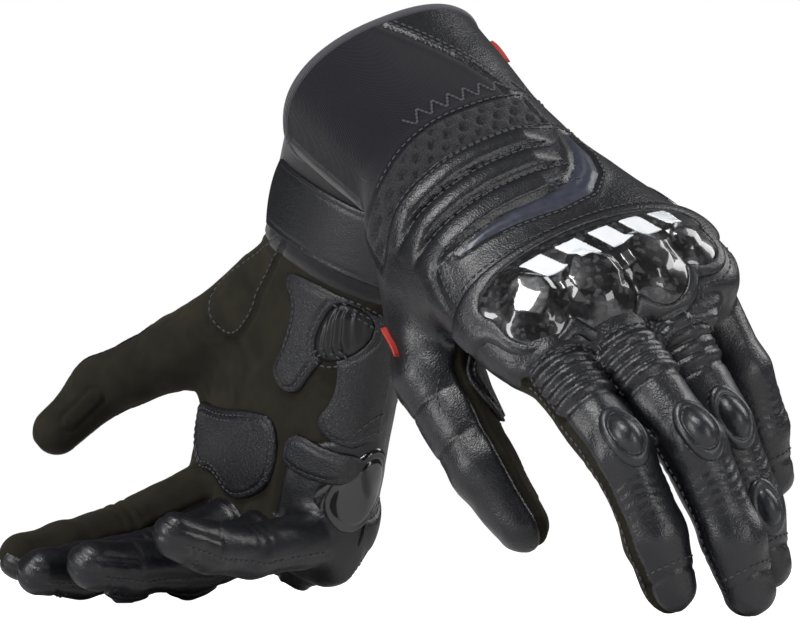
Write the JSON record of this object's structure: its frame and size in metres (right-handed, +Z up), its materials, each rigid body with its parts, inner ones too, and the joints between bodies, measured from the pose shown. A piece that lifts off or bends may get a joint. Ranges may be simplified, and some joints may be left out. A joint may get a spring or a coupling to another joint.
{
  "type": "motorcycle riding gloves",
  "caption": "Pair of short-cuff leather motorcycle gloves with moulded knuckle guards, stretch ribs and suede palms; fingers, thumbs and wrist straps move.",
  "frame": {"origin": "middle of the footprint, at the level of the lowest point the gloves rest on", "axes": "+Z up; +X across the pair, from the back glove's fingertips to the front glove's; +Y from the front glove towards the back one"},
  "size_m": [0.2681, 0.2853, 0.1998],
  "materials": {
    "leather": "satin grained leather",
    "suede": "matt suede",
    "knit": "twill stretch knit",
    "mesh": "embossed open mesh",
    "binding": "woven binding tape",
    "guard": "clear-coated forged carbon look",
    "slider": "gloss moulded",
    "ribbed": "ribbed soft moulding",
    "pad": "padded smooth leather",
    "loop": "loop fastener and lining"
  },
  "bodies": {
    "right_hand": {"right_back_leather": "leather", "right_palm_suede": "suede", "right_cuff_knit": "knit", "right_cuff_panel": "loop", "right_cuff_binding": "binding", "right_mesh_insert": "mesh", "right_pleat_ribs": "leather", "right_knuckle_bezel": "leather", "right_knuckle_guard": "guard", "right_ulnar_slider": "slider", "right_heel_insert": "ribbed", "right_palm_patches": "leather"},
    "right_index_base": {"right_index_base": "leather", "right_index_accordion": "leather", "right_index_stud": "pad"},
    "right_index_tip": {"right_index_tip": "leather"},
    "right_middle_base": {"right_middle_base": "leather", "right_middle_accordion": "leather", "right_middle_stud": "pad"},
    "right_middle_tip": {"right_middle_tip": "leather"},
    "right_ring_base": {"right_ring_base": "leather", "right_ring_accordion": "leather", "right_ring_stud": "pad"},
    "right_ring_tip": {"right_ring_tip": "leather", "right_ring_end_stud": "pad"},
    "right_little_base": {"right_little_base": "leather"},
    "right_little_tip": {"right_little_tip": "leather"},
    "right_thumb_base": {"right_thumb_base": "leather"},
    "right_thumb_tip": {"right_thumb_tip": "leather"},
    "right_strap": {"right_wrist_strap": "leather"},
    "left_hand": {"left_back_leather": "leather", "left_palm_suede": "suede", "left_cuff_knit": "knit", "left_cuff_panel": "loop", "left_cuff_binding": "binding", "left_mesh_insert": "mesh", "left_pleat_ribs": "leather", "left_knuckle_bezel": "leather", "left_knuckle_guard": "guard", "left_ulnar_slider": "slider", "left_heel_insert": "ribbed", "left_palm_patches": "leather"},
    "left_index_base": {"left_index_base": "leather", "left_index_accordion": "leather", "left_index_stud": "pad"},
    "left_index_tip": {"left_index_tip": "leather"},
    "left_middle_base": {"left_middle_base": "leather", "left_middle_accordion": "leather", "left_middle_stud": "pad"},
    "left_middle_tip": {"left_middle_tip": "leather"},
    "left_ring_base": {"left_ring_base": "leather", "left_ring_accordion": "leather", "left_ring_stud": "pad"},
    "left_ring_tip": {"left_ring_tip": "leather", "left_ring_end_stud": "pad"},
    "left_little_base": {"left_little_base": "leather"},
    "left_little_tip": {"left_little_tip": "leather"},
    "left_thumb_base": {"left_thumb_base": "leather"},
    "left_thumb_tip": {"left_thumb_tip": "leather"},
    "left_strap": {"left_wrist_strap": "leather"}
  },
  "joints": [
    {"name": "right_index_knuckle", "type": "hinge", "parent": "right_hand", "child": "right_index_base", "pos_m": [-0.05618, 0.12868, 0.04198], "axis": [-0.6093, 0.639, 0.4695], "range_deg": [-20, 6], "stiffness_Nm_per_rad": 0.8},
    {"name": "right_index_middle_joint", "type": "hinge", "parent": "right_index_base", "child": "right_index_tip", "pos_m": [-0.09184, 0.10747, 0.02455], "axis": [-0.6093, 0.639, 0.4695], "range_deg": [-16, 4.8], "stiffness_Nm_per_rad": 0.5},
    {"name": "right_middle_knuckle", "type": "hinge", "parent": "right_hand", "child": "right_middle_base", "pos_m": [-0.04267, 0.11754, 0.02984], "axis": [-0.6145, 0.6452, 0.454], "range_deg": [-20, 6], "stiffness_Nm_per_rad": 0.8},
    {"name": "right_middle_middle_joint", "type": "hinge", "parent": "right_middle_base", "child": "right_middle_tip", "pos_m": [-0.08205, 0.09076, 0.0146], "axis": [-0.6145, 0.6452, 0.454], "range_deg": [-16, 4.8], "stiffness_Nm_per_rad": 0.5},
    {"name": "right_ring_knuckle", "type": "hinge", "parent": "right_hand", "child": "right_ring_base", "pos_m": [-0.0298, 0.10087, 0.0247], "axis": [-0.6194, 0.6513, 0.4384], "range_deg": [-20, 6], "stiffness_Nm_per_rad": 0.8},
    {"name": "right_ring_middle_joint", "type": "hinge", "parent": "right_ring_base", "child": "right_ring_tip", "pos_m": [-0.06567, 0.07442, 0.01331], "axis": [-0.6194, 0.6513, 0.4384], "range_deg": [-16, 4.8], "stiffness_Nm_per_rad": 0.5},
    {"name": "right_little_knuckle", "type": "hinge", "parent": "right_hand", "child": "right_little_base", "pos_m": [-0.01755, 0.08176, 0.02328], "axis": [-0.633, 0.6683, 0.3908], "range_deg": [-20, 6], "stiffness_Nm_per_rad": 0.8},
    {"name": "right_little_middle_joint", "type": "hinge", "parent": "right_little_base", "child": "right_little_tip", "pos_m": [-0.04496, 0.05914, 0.01756], "axis": [-0.633, 0.6683, 0.3908], "range_deg": [-16, 4.8], "stiffness_Nm_per_rad": 0.5},
    {"name": "right_thumb_knuckle", "type": "hinge", "parent": "right_hand", "child": "right_thumb_base", "pos_m": [-0.07314, 0.11983, 0.08888], "axis": [-0.4411, -0.1774, 0.8797], "range_deg": [-8, 10], "stiffness_Nm_per_rad": 0.8},
    {"name": "right_thumb_end_joint", "type": "hinge", "parent": "right_thumb_base", "child": "right_thumb_tip", "pos_m": [-0.1016, 0.13203, 0.07707], "axis": [-0.4411, -0.1774, 0.8797], "range_deg": [-8, 10], "stiffness_Nm_per_rad": 0.5},
    {"name": "right_strap_open", "type": "hinge", "parent": "right_hand", "child": "right_strap", "pos_m": [0.01732, 0.04113, 0.11721], "axis": [0.2876, -0.3526, 0.8905], "range_deg": [0, 60]},
    {"name": "left_index_knuckle", "type": "hinge", "parent": "left_hand", "child": "left_index_base", "pos_m": [0.0521, -0.10953, 0.08087], "axis": [0.8593, 0.3591, 0.3641], "range_deg": [-8, 26], "stiffness_Nm_per_rad": 0.8},
    {"name": "left_index_middle_joint", "type": "hinge", "parent": "left_index_base", "child": "left_index_tip", "pos_m": [0.07493, -0.13243, 0.04958], "axis": [0.8593, 0.3591, 0.3641], "range_deg": [-6.4, 20.8], "stiffness_Nm_per_rad": 0.5},
    {"name": "left_middle_knuckle", "type": "hinge", "parent": "left_hand", "child": "left_middle_base", "pos_m": [0.07152, -0.10499, 0.08837], "axis": [0.8503, 0.3697, 0.3746], "range_deg": [-8, 26], "stiffness_Nm_per_rad": 0.8},
    {"name": "left_middle_middle_joint", "type": "hinge", "parent": "left_middle_base", "child": "left_middle_tip", "pos_m": [0.09733, -0.12734, 0.05184], "axis": [0.8503, 0.3697, 0.3746], "range_deg": [-6.4, 20.8], "stiffness_Nm_per_rad": 0.5},
    {"name": "left_ring_knuckle", "type": "hinge", "parent": "left_hand", "child": "left_ring_base", "pos_m": [0.08676, -0.09279, 0.0978], "axis": [0.841, 0.3802, 0.385], "range_deg": [-8, 26], "stiffness_Nm_per_rad": 0.8},
    {"name": "left_ring_middle_joint", "type": "hinge", "parent": "left_ring_base", "child": "left_ring_tip", "pos_m": [0.10847, -0.1005, 0.05799], "axis": [0.841, 0.3802, 0.385], "range_deg": [-6.4, 20.8], "stiffness_Nm_per_rad": 0.5},
    {"name": "left_little_knuckle", "type": "hinge", "parent": "left_hand", "child": "left_little_base", "pos_m": [0.09948, -0.07693, 0.108], "axis": [0.8115, 0.4111, 0.4153], "range_deg": [-8, 26], "stiffness_Nm_per_rad": 0.8},
    {"name": "left_little_middle_joint", "type": "hinge", "parent": "left_little_base", "child": "left_little_tip", "pos_m": [0.11643, -0.07834, 0.07627], "axis": [0.8115, 0.4111, 0.4153], "range_deg": [-6.4, 20.8], "stiffness_Nm_per_rad": 0.5},
    {"name": "left_thumb_knuckle", "type": "hinge", "parent": "left_hand", "child": "left_thumb_base", "pos_m": [0.0189, -0.07286, 0.07465], "axis": [0.7908, -0.2817, 0.5435], "range_deg": [-8, 10], "stiffness_Nm_per_rad": 0.8},
    {"name": "left_thumb_end_joint", "type": "hinge", "parent": "left_thumb_base", "child": "left_thumb_tip", "pos_m": [0.03379, -0.08624, 0.04605], "axis": [0.7908, -0.2817, 0.5435], "range_deg": [-8, 10], "stiffness_Nm_per_rad": 0.5},
    {"name": "left_strap_open", "type": "hinge", "parent": "left_hand", "child": "left_strap", "pos_m": [0.04689, -0.01029, 0.17495], "axis": [0.5263, -0.6065, -0.596], "range_deg": [0, 12]},
    {"name": "lift", "type": "slide", "parent": "right_hand", "child": "left_hand", "axis": [0, -0.5, 0.866], "range_m": [0, 0.1]}
  ],
  "couplings": [
    {"joint": "right_index_middle_joint", "follows": "right_index_knuckle", "ratio": 0.8},
    {"joint": "right_middle_middle_joint", "follows": "right_middle_knuckle", "ratio": 0.8},
    {"joint": "right_ring_middle_joint", "follows": "right_ring_knuckle", "ratio": 0.8},
    {"joint": "right_little_middle_joint", "follows": "right_little_knuckle", "ratio": 0.8},
    {"joint": "right_thumb_end_joint", "follows": "right_thumb_knuckle", "ratio": 1},
    {"joint": "left_index_middle_joint", "follows": "left_index_knuckle", "ratio": 0.8},
    {"joint": "left_middle_middle_joint", "follows": "left_middle_knuckle", "ratio": 0.8},
    {"joint": "left_ring_middle_joint", "follows": "left_ring_knuckle", "ratio": 0.8},
    {"joint": "left_little_middle_joint", "follows": "left_little_knuckle", "ratio": 0.8},
    {"joint": "left_thumb_end_joint", "follows": "left_thumb_knuckle", "ratio": 1}
  ]
}
